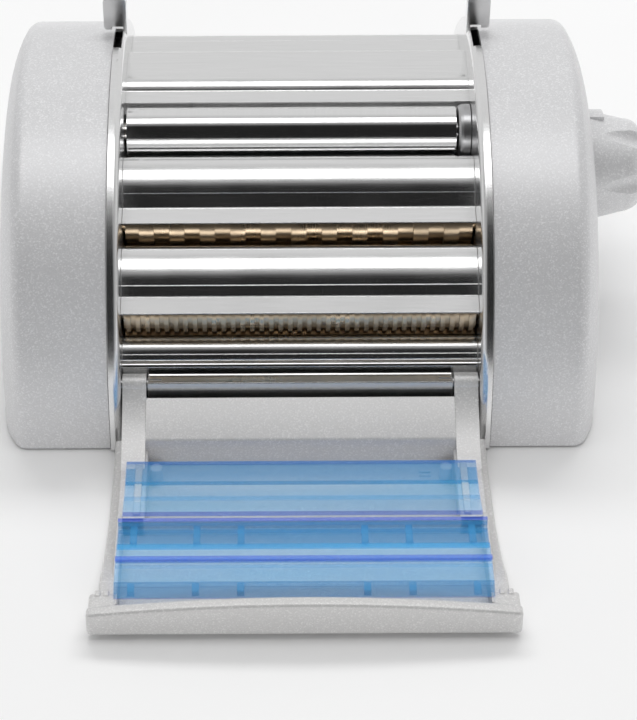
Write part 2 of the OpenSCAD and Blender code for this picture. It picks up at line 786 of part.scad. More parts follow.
module motor_rotor() {
    color("goldenrod") {
        disc_x(motor_at, motor_shaft_r, -first_x - gear_w, motor_l - inner_x + 1);
        disc_x(motor_at, motor_r - motor_wall - 3, -inner_x + 14, motor_l - inner_x - 14);
        gear(motor_at, drive_module, pinion_teeth, motor_phase, first_x, gear_w, motor_shaft_r - 0.5);
    }
}

// ---------------------------------------------------------------- thickness adjustment

// The bearing block in its own frame: the roller's journal at the origin, the slide along -y
module bearing_block_2d() {
    window = spindle_local + [0, cam_lift];
    window_size = 2 * [cam_r + cam_throw + 0.6, cam_r + cam_play];
    difference() {
        polygon([
            [-8, 6], [-6.5, 7.5], [6.5, 7.5], [20.5, -2],
            [20.5, -17.5], [4, -17.5], [4, -27], [-8, -27]]);
        circle(journal_r + run_play);
        translate(window - window_size / 2) square(window_size);
        translate([pin_places[0][0] - pin_r - run_play, pin_places[1][1]])
            square([2 * (pin_r + run_play), pin_places[0][1] - pin_places[1][1] + gap_travel]);
        for (at = [pin_places[0] + [0, gap_travel + 0.2], pin_places[1] - [0, 0.2]])
            translate(at) circle(pin_r + run_play);
    }
}

module bearing_block() {
    about_x(lower_smooth_at, block_x) rotate([0, 0, pair_lean]) linear_extrude(block_w) bearing_block_2d();
}

module left_bearing_block() { color("burlywood") mirrored_to(-1) bearing_block(); }
module right_bearing_block() { color("burlywood") bearing_block(); }

module carriage_pins() {
    color("silver") for (side = [-1, 1], at = pin_places)
        mirrored_to(side) disc_x(lower_smooth_at + turned(at, pair_lean), pin_r, block_x, outer_x);
}

knob_near = side_x(spindle_at) + 0.6;
knob_far = knob_near + knob_l;

module knob_spindle() {
    cam_at = spindle_at + cam_throw * [cos(cam_angle), sin(cam_angle)];
    color("silver") {
        disc_x(spindle_at, spindle_r, -bush_end_x, knob_far - 6);
        for (side = [-1, 1]) mirrored_to(side) disc_x(cam_at, cam_r, block_x, block_x + block_w);
    }
}

flute_count = 6;
flute_angle = 52;
flute_tilt = 23;
pointer_angle = [52, 89];

// The knob: a tapered skirt, rounded at its end, with leaf-shaped flutes that deepen outwards
module thickness_knob() {
    end_round = 8;
    end_r = knob_r - 3.5;
    color("silver") difference() {
        union() {
            about_x(spindle_at, knob_near) rotate_extrude($fn = 96) {
                polygon([[0, 0], [knob_r, 0], [knob_r, 2], [end_r, knob_l - end_round],
                    [end_r - end_round, knob_l], [0, knob_l]]);
                translate([end_r - end_round, knob_l - end_round]) circle(end_round);
            }
            arc_sweep(spindle_at, pointer_angle[0], pointer_angle[1])
                translate([knob_r - 3, knob_near + 0.8]) square([3.5, 7.5]);
        }
        for (k = [0:flute_count - 1])
            about_x(spindle_at, knob_far) rotate([0, 0, flute_angle + k * 360 / flute_count])
                translate([end_r - flute_depth + flute_r, 0, 0]) rotate([0, -flute_tilt, 0])
                    translate([0, 0, -2 * knob_l]) cylinder(r = flute_r, h = 4 * knob_l);
        disc_x(spindle_at, spindle_r + 0.02, knob_near - 1, knob_far - 5.8);
    }
}

// ---------------------------------------------------------------- switch and cord inlet

switch_lip = 1.5;
switch_face_x = side_x(switch_at) + seat_gap;
rocker_tilt = 8;

module switch_plate(size, from_x, to_x) {
    translate([from_x, switch_at[0] - size[0] / 2, switch_at[1] - size[1] / 2])
        cube([to_x - from_x, size[0], size[1]]);
}

module switch_bezel() {
    body = switch_size - [0.4, 0.4];
    window = switch_size - [3.4, 3.4];
    color("black") mirrored_to(-1) difference() {
        union() {
            switch_plate(body, switch_face_x - 14, switch_face_x + 1);
            switch_plate(switch_size + 2 * [switch_lip, switch_lip], switch_face_x, switch_face_x + 1.8);
        }
        switch_plate(window, switch_face_x - 11, switch_face_x + 3);
        switch_pin(switch_pin_r + run_play, body[0] / 2 + 1);
    }
}

switch_pin_r = 1.5;

module switch_pin(r, half_l) {
    translate([switch_face_x - 1, switch_at[0] - half_l, switch_at[1]]) rotate([-90, 0, 0])
        cylinder(r = r, h = 2 * half_l);
}

// The rocker turns on a pin along y; its two faces meet in a shallow ridge
module switch_rocker() {
    rocker = [switch_size[0] - 4, switch_size[1] - 4.6];
    color("black") mirrored_to(-1) {
        translate([switch_face_x - 1, switch_at[0] + rocker[0] / 2, switch_at[1]])
            rotate([90, 0, 0]) rotate([0, 0, rocker_tilt]) linear_extrude(rocker[0]) polygon([
                [-4, -5], [2.4, -rocker[1] / 2], [3.6, 0], [2.4, rocker[1] / 2], [-4, 5]]);
        switch_pin(switch_pin_r, rocker[0] / 2 + 1.2);
    }
}

cord_bore_r = 3;

// The grommet that a mains cord would pass through
module cord_inlet() {
    wall_x = side_x(inlet_at);
    color("black") mirrored_to(-1) about_x(inlet_at) rotate_extrude() polygon([
        [cord_bore_r, wall_x - 7], [inlet_r - 0.1, wall_x - 7], [inlet_r - 0.1, wall_x + 0.8],
        [inlet_r + 2, wall_x + 0.8], [inlet_r + 1.4, wall_x + 3], [cord_bore_r + 1, wall_x + 6],
        [cord_bore_r, wall_x + 6]]);
}

// ---------------------------------------------------------------- lid

panel_z = 16;
panel_t = 3;
panel_back_y = hinge_at[0] - 2;
panel_foot_y = -arc_r + casing_t - 1;
recess_back_y = hinge_at[0] - 23;
recess_front_y = hinge_at[0] - 66;
recess_half_x = 63.5;
inner_wall = 2.2;
clear_half_x = lid_half_in - inner_wall - 0.3;

// Everything inside the closed lid's arc, where the plates' rims go
module lid_arc() {
    disc_x(lid_centre, lid_inner_r, -150, 150);
}

module lid_bar(half_x, y0, y1, z1, r) {
    translate([-half_x, y1, 0]) linear_extrude(z1) rounded_square([2 * half_x, y0 - y1], r);
}

// A pocket with rounded corners, sunk to the thickness of the lid's floor
module lid_pocket(half_x, y0, y1, r) {
    translate([0, 0, lid_t]) lid_bar(half_x, y0, y1, 40, r);
}

module lid_arm() {
    x0 = lid_half_in - arm_w;
    disc_x(hinge_at, knuckle_r, x0, lid_half_in);
    across(x0, lid_half_in) polygon([
        hinge_at + [-knuckle_r, 0], hinge_at + [knuckle_r - 0.5, -1],
        [hinge_at[0] - 2, panel_z - 4], [hinge_at[0] - 10, 3], [hinge_at[0] - 24, 3],
        [hinge_at[0] - 24, panel_z], [hinge_at[0] - 12, panel_z + 2]]);
}

crease_depth = 7.6;
crease_r = pow(grip_w / 2, 2) / crease_depth / 2;

// The bevel along the grip's front: a wide cone, so that its crease curves back in the middle
module grip_bevel() {
    translate([0, lid_end_y + crease_depth - crease_r, 0])
        cylinder(r1 = crease_r - grip_h, r2 = crease_r + 0.02, h = grip_h + 0.02, $fn = 64);
}

// What stands in the lid's tray: a round stud at the left and two short ridges at the right
module tray_details() {
    translate([-60, hinge_at[0] - 36, 0]) cylinder(r = 2.6, h = 9);
    for (k = [0, 1]) translate([49, hinge_at[0] - 31 - 2.2 * k, lid_t - 0.5]) cube([4.8, 0.9, 1.3]);
}

module lid_shell() {
    color("silver") difference() {
        union() {
            difference() {
                union() {
                    lid_bar(lid_w / 2, -rim_r - 4, lid_end_y + 8, grip_h, 3);
                    lid_bar(grip_w / 2, lid_end_y + 11, lid_end_y, grip_h, 5);
                }
                lid_arc();
                lid_pocket(lid_half_in - inner_wall, recess_front_y - 2, lid_end_y + 13, 4);
                grip_bevel();
            }
            translate([0, 0, panel_z - panel_t])
                lid_bar(lid_half_in, panel_back_y, recess_back_y - 2, panel_t, 1);
            lid_bar(lid_half_in, panel_foot_y - 2, recess_back_y - 2, panel_z, 1);
            for (side = [-1, 1]) mirrored_to(side) {
                lid_arm();
                translate([lid_half_in - inner_wall, lid_end_y + 12, 0])
                    cube([inner_wall, recess_back_y - lid_end_y - 12, 12]);
            }
        }
        lid_pocket(recess_half_x, recess_back_y, recess_front_y, 5);
        disc_x(hinge_at, hinge_pin_r + run_play, -100, 100);
    }
    color("silver") tray_details();
}

// A clear guide with a raised back edge and ribs under it; its profile is given as a bent sheet
module clear_guide(start, direction, steps, rib_l, rib_h) {
    across(-clear_half_x, clear_half_x) translate(start) rotate(direction) bent_sheet_2d(clear_t, steps);
    for (x = [-42, -24.5, 24.5, 42]) across(x - 1.4, x + 1.4)
        translate(start) rotate(direction) translate([4, -rib_h]) square([rib_l, rib_h + 0.1]);
}

module tray_guide() {
    color("royalblue", 0.6) clear_guide([hinge_at[0] - 34, 13.2], 180, [[22, -15, 3], [9, 0, 1]], 3, 0.4);
}

module wide_guide() {
    color("royalblue", 0.6) clear_guide([hinge_at[0] - 69, 15], 190, [[18, 25, 3], [4, 0, 1]], 12, 1.4);
}

module fine_guide() {
    color("royalblue", 0.6) clear_guide([hinge_at[0] - 93, 17], 186, [[13.5, 30, 3], [1.5, 0, 1]], 12, 1.4);
}

// ---------------------------------------------------------------- what is drawn

left_side_plate();
right_side_plate();
left_casing();
right_casing();
base_pan();
rubber_feet();
tie_rods();
tie_rod_nuts();
front_crossbar();
top_cover();
rear_cover();
upper_guide();
middle_guide();
lower_guide();
wide_comb();
fine_comb();
left_bushes();
right_bushes();
carriage_pins();
idler_studs();
gear_studs();
bridge_posts();
gear_bridge();
motor_can();
motor_screws();
casing_screws();
lid_hinge_pins();
switch_bezel();
cord_inlet();
upper_smooth_roller();
roller_end_disc();
smooth_drive_gear();
upper_smooth_gear();
lower_smooth_roller();
lower_smooth_gear();
upper_wide_cutter();
wide_drive_gear();
upper_wide_gear();
lower_wide_cutter();
lower_wide_gear();
upper_fine_cutter();
fine_drive_gear();
upper_fine_gear();
lower_fine_cutter();
lower_fine_gear();
rear_idler();
front_idler();
second_reduction_gear();
first_reduction_gear();
motor_rotor();
left_bearing_block();
right_bearing_block();
knob_spindle();
thickness_knob();
switch_rocker();
lid_shell();
tray_guide();
wide_guide();
fine_guide();
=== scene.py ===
import json
import math

import bmesh
import bpy
from bpy.props import FloatProperty, FloatVectorProperty, PointerProperty
from bpy.types import Operator, Panel, PropertyGroup
from mathutils import Matrix, Vector


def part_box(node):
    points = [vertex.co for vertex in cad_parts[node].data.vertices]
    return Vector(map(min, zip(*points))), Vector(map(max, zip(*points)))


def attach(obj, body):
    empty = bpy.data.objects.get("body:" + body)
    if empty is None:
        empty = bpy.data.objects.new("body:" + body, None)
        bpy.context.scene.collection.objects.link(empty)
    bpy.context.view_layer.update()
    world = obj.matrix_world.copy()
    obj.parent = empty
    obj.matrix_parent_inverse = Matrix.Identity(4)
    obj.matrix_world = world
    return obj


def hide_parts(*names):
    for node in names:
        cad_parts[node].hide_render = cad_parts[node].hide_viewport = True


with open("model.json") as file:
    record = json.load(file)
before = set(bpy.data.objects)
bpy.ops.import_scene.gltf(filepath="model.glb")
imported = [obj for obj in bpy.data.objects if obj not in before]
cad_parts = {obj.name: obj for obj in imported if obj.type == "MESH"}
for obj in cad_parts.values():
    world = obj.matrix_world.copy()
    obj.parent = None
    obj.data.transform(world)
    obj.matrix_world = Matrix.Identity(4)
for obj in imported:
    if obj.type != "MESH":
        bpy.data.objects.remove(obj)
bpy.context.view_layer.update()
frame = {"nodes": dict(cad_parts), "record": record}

bl_info = {
    "name": "Pasta machine dressing",
    "version": (1, 0, 0),
    "blender": (4, 5, 0),
    "location": "3D View > Sidebar > Pasta machine",
    "description": "Finishes and small parts for the motor-driven pasta roller machine",
    "category": "Object",
}

NODES = frame["nodes"]
MM = 0.001


def axis_of(node):
    """The axis of a round node across the machine, as (y, z) in millimetres."""
    low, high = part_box(node)
    return Vector((low[1] + high[1], low[2] + high[2])) / 2 / MM


WIDE_AT = axis_of("upper_wide_cutter")
FINE_AT = axis_of("upper_fine_cutter")
SMOOTH_AT = axis_of("upper_smooth_roller")
HINGE_AT = axis_of("lid_hinge_pins")
LID_LOW, LID_HIGH = (Vector(corner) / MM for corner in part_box("lid_shell"))


# ------------------------------------------------------------------ sizes and colours


class SilverPaint(PropertyGroup):
    """The metallic paint of the casings, the lid and the knob."""

    casing_colour: FloatVectorProperty(
        name="Casing colour",
        description="Base colour of the silver paint on the casings",
        subtype="COLOR",
        default=(0.73, 0.73, 0.74),
        min=0,
        max=1,
    )
    lid_colour: FloatVectorProperty(
        name="Lid colour",
        description="Base colour of the warmer silver paint on the lid",
        subtype="COLOR",
        default=(0.7, 0.695, 0.69),
        min=0,
        max=1,
    )
    flake_size: FloatProperty(
        name="Flake size",
        description="Size of the metal flakes in the paint",
        subtype="DISTANCE",
        default=0.0005,
        min=0.0002,
        max=0.002,
    )


class BareMetal(PropertyGroup):
    """The polished sheets and rollers and the bronze cutters."""

    steel_colour: FloatVectorProperty(
        name="Steel colour",
        description="Colour of the polished steel sheets and rollers",
        subtype="COLOR",
        default=(0.93, 0.93, 0.93),
        min=0,
        max=1,
    )
    bronze_colour: FloatVectorProperty(
        name="Bronze colour",
        description="Colour of the turned cutters",
        subtype="COLOR",
        default=(0.76, 0.6, 0.42),
        min=0,
        max=1,
    )
    brush_length: FloatProperty(
        name="Brush stroke length",
        description="Length of the fine grinding marks on the sheets",
        subtype="DISTANCE",
        default=0.02,
        min=0.005,
        max=0.05,
    )


class GuideSheets(PropertyGroup):
    """The three polished sheets that lead the dough off the rollers and cutters."""

    thickness: FloatProperty(
        name="Sheet thickness",
        description="Thickness of the guide sheets",
        subtype="DISTANCE",
        default=0.0009,
        min=0.0005,
        max=0.0015,
    )
    half_width: FloatProperty(
        name="Half width",
        description="Half the width of the guide sheets",
        subtype="DISTANCE",
        default=0.0749,
        min=0.07,
        max=0.075,
    )
    ramp_angle: FloatProperty(
        name="Ramp angle",
        description="Direction in which a guide climbs away from under its rollers",
        subtype="ANGLE",
        default=math.radians(142),
        min=math.radians(130),
        max=math.radians(160),
    )


class LidShape(PropertyGroup):
    """The open lid's tray and grip."""

    floor: FloatProperty(
        name="Floor thickness",
        description="Thickness of the lid's floor",
        subtype="DISTANCE",
        default=0.0032,
        min=0.002,
        max=0.005,
    )
    flare: FloatProperty(
        name="Flare",
        description="How much wider each side of the lid is at the grip than at the hinge",
        subtype="DISTANCE",
        default=0.0024,
        min=0,
        max=0.005,
    )
    grip_depth: FloatProperty(
        name="Grip depth",
        description="Depth of the grip from front to back",
        subtype="DISTANCE",
        default=0.0055,
        min=0.003,
        max=0.01,
    )
    grip_crown: FloatProperty(
        name="Grip crown",
        description="How much higher the grip is in the middle than at its ends",
        subtype="DISTANCE",
        default=0.005,
        min=0,
        max=0.008,
    )


class ClearPlastic(PropertyGroup):
    """The blue guides in the lid."""

    colour: FloatVectorProperty(
        name="Blue",
        description="Colour of the clear guides",
        subtype="COLOR",
        default=(0.06, 0.5, 1.0),
        min=0,
        max=1,
    )
    edge_colour: FloatVectorProperty(
        name="Edge blue",
        description="Deep colour of the guides where the light runs along the sheet",
        subtype="COLOR",
        default=(0.05, 0.1, 0.75),
        min=0,
        max=1,
    )
    body: FloatProperty(
        name="Body",
        description="Share of the light that the guides hold back",
        subtype="FACTOR",
        default=0.14,
        min=0,
        max=1,
    )
    thickness: FloatProperty(
        name="Thickness",
        description="Thickness of the clear guides",
        subtype="DISTANCE",
        default=0.002,
        min=0.001,
        max=0.003,
    )


class Studio(PropertyGroup):
    """Camera, lights and floor."""

    elevation: FloatProperty(
        name="Camera elevation",
        description="Angle of the camera above the table",
        subtype="ANGLE",
        default=math.radians(38),
        min=0,
        max=math.radians(80),
    )
    roll: FloatProperty(
        name="Camera roll",
        description="Small turn of the camera about its axis",
        subtype="ANGLE",
        default=math.radians(-0.3),
    )
    distance: FloatProperty(
        name="Camera distance",
        description="Distance from the camera to the lid's hinge",
        subtype="DISTANCE",
        default=1.0,
        min=0.5,
        max=3,
    )
    aside: FloatProperty(
        name="Camera offset",
        description="How far the camera stands to the left of the middle",
        subtype="DISTANCE",
        default=0.014,
    )
    key_power: FloatProperty(
        name="Key light",
        description="Power of the large light behind the machine; the other lights follow it",
        subtype="POWER",
        default=12,
        min=0,
        max=100,
    )
    sky: FloatProperty(
        name="Sky strength",
        description="Brightness of the white studio round the machine",
        default=0.82,
        min=0,
        max=4,
    )


GROUPS = {
    "silver_paint": SilverPaint,
    "bare_metal": BareMetal,
    "guide_sheets": GuideSheets,
    "lid_shape": LidShape,
    "clear_plastic": ClearPlastic,
    "studio": Studio,
}


# ------------------------------------------------------------------ shader maths


class Signal:
    """A shader socket that takes part in Python expressions by adding Math nodes."""

    def __init__(self, finish, socket):
        self.finish = finish
        self.socket = socket

    def _math(self, operation, first, second):
        return self.finish.node("ShaderNodeMath", {"operation": operation}, {0: first, 1: second})

    def __add__(self, other):
        return self._math("ADD", self, other)

    __radd__ = __add__

    def __mul__(self, other):
        return self._math("MULTIPLY", self, other)


def set_stops(ramp, stops):
    """Gives a colour ramp its greys; each stop is (position, grey)."""
    while len(ramp.elements) < len(stops):
        ramp.elements.new(1.0)
    for element, (position, grey) in zip(ramp.elements, stops):
        element.position = position
        element.color = (grey, grey, grey, 1)


class Finish:
    """A material on object coordinates, with one method for every kind of node."""

    def __init__(self, name):
        self.material = bpy.data.materials.new(name)
        self.material.use_nodes = True
        self.tree = self.material.node_tree
        self.tree.nodes.clear()
        self.shader = self.tree.nodes.new("ShaderNodeBsdfPrincipled")
        output = self.tree.nodes.new("ShaderNodeOutputMaterial")
        self.tree.links.new(self.shader.outputs[0], output.inputs[0])
        self.place = self.node("ShaderNodeTexCoord", output="Object")

    def _feed(self, socket, value):
        if isinstance(value, Signal):
            self.tree.links.new(value.socket, socket)
        elif hasattr(value, "__len__") and socket.type == "RGBA" and len(value) == 3:
            socket.default_value = (*value, 1)
        else:
            socket.default_value = value

    def node(self, kind, settings=None, inputs=None, output=0):
        made = self.tree.nodes.new(kind)
        for key, value in (settings or {}).items():
            if key == "stops":
                set_stops(made.color_ramp, value)
            else:
                setattr(made, key, value)
        for key, value in (inputs or {}).items():
            self._feed(made.inputs[key], value)
        return Signal(self, made.outputs[output])

    def stretched(self, scale):
        """Object coordinates, scaled per axis."""
        return self.node("ShaderNodeMapping", None, {"Vector": self.place, "Scale": scale})

    def noise(self, scale, detail=2.0, vector=None):
        inputs = {"Vector": vector or self.place, "Scale": scale, "Detail": detail}
        return self.node("ShaderNodeTexNoise", None, inputs, "Fac")

    def cells(self, scale):
        """A different grey for each small cell, as metal flakes have."""
        colour = self.node("ShaderNodeTexVoronoi", None, {"Vector": self.place, "Scale": scale}, "Color")
        return self.node("ShaderNodeSeparateColor", None, {0: colour}, 0)

    def ramp(self, value, stops):
        return self.node("ShaderNodeValToRGB", {"stops": stops}, {"Fac": value})

    def mix(self, factor, first, second):
        inputs = {"Factor": factor, 6: first, 7: second}
        return self.node("ShaderNodeMix", {"data_type": "RGBA"}, inputs, 2)

    def bump(self, height, distance, strength=1.0, normal=None):
        inputs = {"Height": height, "Distance": distance, "Strength": strength}
        if normal:
            inputs["Normal"] = normal
        return self.node("ShaderNodeBump", None, inputs, "Normal")

    def soft_edges(self, radius):
        """Normals that round off hard edges by a small radius."""
        return self.node("ShaderNodeBevel", {"samples": 6}, {"Radius": radius}, "Normal")

    def set(self, **sockets):
        """Values for the shader's sockets; underscores in the names stand for spaces."""
        for name, value in sockets.items():
            self._feed(self.shader.inputs[name.replace("_", " ")], value)
        return self.material


def shade(colour, factor):
    """A darker or lighter version of a colour."""
    return tuple(min(1, c * factor) for c in colour)


# ------------------------------------------------------------------ finishes


def silver_paint(name, colour, flake_size):
    """Metallic paint: bright flakes under a satin clear coat with a faint orange peel."""
    finish = Finish(name)
    flakes = finish.cells(1 / flake_size)
    sparkle = finish.ramp(flakes, [(0.0, 0.0), (0.72, 0.25), (1.0, 1.0)])
    cloud = finish.noise(18, 3)
    base = finish.mix(sparkle * 0.55 + cloud * 0.15, shade(colour, 0.86), shade(colour, 1.3))
    peel = finish.noise(900, 2)
    soft = finish.soft_edges(0.0004)
    return finish.set(
        Base_Color=base,
        Metallic=0.25,
        Roughness=0.34 + flakes * 0.14,
        Normal=finish.bump(flakes * 0.7 + peel, 0.00002, 0.5, soft),
        Coat_Weight=0.25,
        Coat_Roughness=0.25,
    )


def ground_steel(name, colour, stroke, roughness):
    """Sheet steel with fine grinding marks across the machine and a few handling smears."""
    finish = Finish(name)
    strokes = finish.noise(1.0, 4, finish.stretched((1 / stroke, 2500, 2500)))
    smear = finish.ramp(finish.noise(35, 3), [(0.35, 0.0), (0.75, 1.0)])
    base = finish.mix(strokes * 0.7, shade(colour, 0.88), shade(colour, 1.08))
    return finish.set(
        Base_Color=base,
        Metallic=1.0,
        Roughness=roughness + strokes * 0.1 + smear * 0.05,
        Normal=finish.bump(strokes, 0.00001, 0.4, finish.soft_edges(0.0004)),
    )


def polished_roller(name, colour):
    """A ground roller: rings of very fine turning marks under a bright polish."""
    finish = Finish(name)
    rings = finish.noise(1.0, 3, finish.stretched((4000, 30, 30)))
    wear = finish.ramp(finish.noise(22, 4, finish.stretched((1, 2, 2))), [(0.4, 0.0), (0.8, 1.0)])
    return finish.set(
        Base_Color=finish.mix(rings * 0.6, shade(colour, 0.9), shade(colour, 1.1)),
        Metallic=1.0,
        Roughness=0.09 + rings * 0.06 + wear * 0.06,
        Normal=finish.bump(rings, 0.000004, 0.3),
    )


def turned_bronze(name, colour):
    """Bronze cutters with lathe marks and a slightly darker, duller tarnish in patches."""
    finish = Finish(name)
    lathe = finish.noise(1.0, 2, finish.stretched((6000, 40, 40)))
    tarnish = finish.ramp(finish.noise(60, 4), [(0.35, 0.0), (0.7, 1.0)])
    base = finish.mix(tarnish * 0.5 + lathe * 0.2, shade(colour, 1.15), shade(colour, 0.72))
    return finish.set(
        Base_Color=base,
        Metallic=1.0,
        Roughness=0.22 + tarnish * 0.12 + lathe * 0.08,
        Normal=finish.bump(lathe, 0.00001, 0.4, finish.soft_edges(0.0002)),
    )


def clear_blue(name, colour, body):
    """Tinted clear plastic with faint moulding flow lines; most of the light passes straight through."""
    finish = Finish(name)
    flow = finish.noise(1.0, 3, finish.stretched((12, 120, 120)))
    return finish.set(
        Base_Color=finish.mix(flow * 0.6, shade(colour, 0.85), shade(colour, 1.35)),
        Roughness=0.08 + flow * 0.08,
        Alpha=body + flow * 0.16,
        Normal=finish.bump(flow, 0.00005, 0.3),
        Coat_Weight=0.4,
        Coat_Roughness=0.08,
    )


def moulded_plastic(name, colour, roughness=0.42):
    """Plain moulded plastic with a fine spark-eroded grain."""
    finish = Finish(name)
    grain = finish.noise(2600, 3)
    cloud = finish.noise(25, 2)
    return finish.set(
        Base_Color=finish.mix(cloud * 0.6, shade(colour, 0.85), shade(colour, 1.15)),
        Roughness=roughness + grain * 0.15,
        Normal=finish.bump(grain, 0.00003, 0.5, finish.soft_edges(0.0003)),
    )


def rubber(name):
    """Black rubber with a dusty, open surface."""
    finish = Finish(name)
    dust = finish.ramp(finish.noise(140, 4), [(0.45, 0.0), (0.8, 1.0)])
    pores = finish.noise(1800, 2)
    return finish.set(
        Base_Color=finish.mix(dust * 0.5, (0.018, 0.018, 0.019), (0.07, 0.07, 0.068)),
        Roughness=0.75 + dust * 0.15,
        Normal=finish.bump(pores, 0.00006, 0.5),
    )


def bright_steel(name):
    """Machined small parts: screws, studs, pins and gears."""
    finish = Finish(name)
    marks = finish.noise(1.0, 3, finish.stretched((3000, 60, 60)))
    oil = finish.ramp(finish.noise(80, 3), [(0.4, 0.0), (0.75, 1.0)])
    return finish.set(
        Base_Color=finish.mix(oil * 0.6, (0.56, 0.56, 0.57), (0.4, 0.39, 0.37)),
        Metallic=1.0,
        Roughness=0.24 + marks * 0.12 + oil * 0.08,
        Normal=finish.bump(marks, 0.00001, 0.4, finish.soft_edges(0.0002)),
    )


def finishes_by_slot(scene):
    """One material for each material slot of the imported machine."""
    paint = scene.silver_paint
    metal = scene.bare_metal
    plastic = scene.clear_plastic
    return {
        "casing": silver_paint("casing_silver_paint", paint.casing_colour, paint.flake_size),
        "lid": silver_paint("lid_silver_paint", paint.lid_colour, paint.flake_size),
        "knob": silver_paint("knob_silver_paint", shade(paint.casing_colour, 1.05), paint.flake_size),
        "plate": ground_steel("plate_steel", metal.steel_colour, metal.brush_length, 0.16),
        "sheet": ground_steel("sheet_steel", metal.steel_colour, metal.brush_length, 0.12),
        "smooth_roller": polished_roller("roller_steel", metal.steel_colour),
        "cutter": turned_bronze("cutter_bronze", metal.bronze_colour),
        "clear_guide": clear_blue("guide_blue", plastic.colour, plastic.body),
        "rubber": rubber("foot_rubber"),
        "black_plastic": moulded_plastic("switch_black", (0.02, 0.02, 0.022)),
        "pale_plastic": moulded_plastic("comb_white", (0.72, 0.71, 0.67)),
        "bush": turned_bronze("bush_bronze", (0.55, 0.4, 0.22)),
        "dark_metal": moulded_plastic("pan_black", (0.035, 0.035, 0.037), 0.5),
        "nylon_gear": moulded_plastic("gear_nylon", (0.75, 0.75, 0.72), 0.38),
        "steel": bright_steel("small_steel"),
    }


# ------------------------------------------------------------------ modelling helpers

# The name of the material for each slot; the finishes operator fills it in.
FINISH_OF_SLOT = {}

# Two faces that meet at more than this angle show a crisp edge.
SHARP_FROM = math.radians(32)


def made_verts(made):
    """The vertices among the results of a bmesh operator."""
    return [item for item in made if isinstance(item, bmesh.types.BMVert)]


def made_face(made):
    """The one face among the results of a bmesh operator."""
    return next(item for item in made if isinstance(item, bmesh.types.BMFace))


def point(place, x=0.0):
    """A place on the machine's side, given as (y, z) in millimetres, as a point of the scene."""
    return Vector((x, *place)) * MM


class BentStrip:
    """A strip across the machine, drawn with its whole thickness along flats and round bends."""

    BEND_STEPS = 10

    def __init__(self, half_width, thickness, start, heading):
        self.mesh = bmesh.new()
        self.thickness = thickness
        self.heading = math.radians(heading)
        self.place = point(start)
        side = Vector((half_width, 0, 0))
        up = self.direction(math.pi / 2) * thickness
        corners = (self.place - side, self.place + side, self.place + side + up, self.place - side + up)
        self.face = self.mesh.faces.new([self.mesh.verts.new(corner) for corner in corners])

    def direction(self, turn=0.0):
        angle = self.heading + turn
        return Vector((0, math.cos(angle), math.sin(angle)))

    def flat(self, length):
        """A straight stretch, in millimetres."""
        made = bmesh.ops.extrude_face_region(self.mesh, geom=[self.face])["geom"]
        step = self.direction() * length * MM
        bmesh.ops.translate(self.mesh, verts=made_verts(made), vec=step)
        self.face = made_face(made)
        self.place += step

    def bend(self, degrees, inside_radius):
        """A bend; the thickness lies on the left, so a left turn's path runs along the outside."""
        radius = inside_radius * MM + (self.thickness if degrees > 0 else 0)
        centre = self.place + self.direction(math.copysign(math.pi / 2, degrees)) * radius
        turn = math.radians(degrees)
        made = bmesh.ops.spin(
            self.mesh,
            geom=[self.face],
            cent=centre,
            axis=(1, 0, 0),
            angle=turn,
            steps=self.BEND_STEPS,
            use_merge=False,
        )["geom_last"]
        self.face = made_face(made)
        self.place = centre + Matrix.Rotation(turn, 3, "X") @ (self.place - centre)
        self.heading += turn

    def along(self, *steps):
        """Flats and bends in turn; each step is (length, turn in degrees, inside radius)."""
        for length, degrees, inside_radius in steps:
            if length:
                self.flat(length)
            if degrees:
                self.bend(degrees, inside_radius)
        return self.mesh


def prism(mesh, outline, from_x, to_x):
    """A solid across the machine; its outline is given as (y, z) places in millimetres."""
    corners = [mesh.verts.new(point(place, from_x)) for place in outline]
    made = bmesh.ops.extrude_face_region(mesh, geom=[mesh.faces.new(corners)])["geom"]
    far = made_verts(made)
    bmesh.ops.translate(mesh, verts=far, vec=((to_x - from_x) * MM, 0, 0))
    return corners + far


def block(mesh, low, high, rounding=0.0):
    """A box between two corners in millimetres, with its edges rounded."""
    low, high = Vector(low) * MM, Vector(high) * MM
    place = Matrix.LocRotScale((low + high) / 2, None, high - low)
    verts = bmesh.ops.create_cube(mesh, size=1, matrix=place)["verts"]
    if rounding:
        round_off(mesh, edges_at(verts), rounding, 3)
    return verts


def edges_at(verts):
    """The edges that meet some vertices, each listed once."""
    return list(dict.fromkeys(edge for vert in verts for edge in vert.link_edges))


def round_off(mesh, edges, radius, segments):
    """Rounds edges by a radius in millimetres."""
    bmesh.ops.bevel(
        mesh,
        geom=edges,
        offset=radius * MM,
        offset_type="OFFSET",
        segments=segments,
        profile=0.5,
        affect="EDGES",
        clamp_overlap=True,
        material=-1,
    )


def mirror_sides(mesh):
    """Repeats what the mesh holds so far on the other side of the machine."""
    bmesh.ops.mirror(mesh, geom=mesh.verts[:] + mesh.edges[:] + mesh.faces[:], axis="X", merge_dist=-1)


def add_piece(name, mesh, body, slot, replaced=()):
    """Makes the finished object from a bmesh and says what carries it."""
    bmesh.ops.recalc_face_normals(mesh, faces=mesh.faces[:])
    data = bpy.data.meshes.new(name)
    mesh.to_mesh(data)
    mesh.free()
    data.shade_smooth()
    data.set_sharp_from_angle(angle=SHARP_FROM)
    data.materials.append(bpy.data.materials[FINISH_OF_SLOT[slot]])
    piece = bpy.data.objects.new(name, data)
    bpy.context.scene.collection.objects.link(piece)
    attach(piece, body)
    if replaced:
        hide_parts(*replaced)
    return piece


# ------------------------------------------------------------------ operators


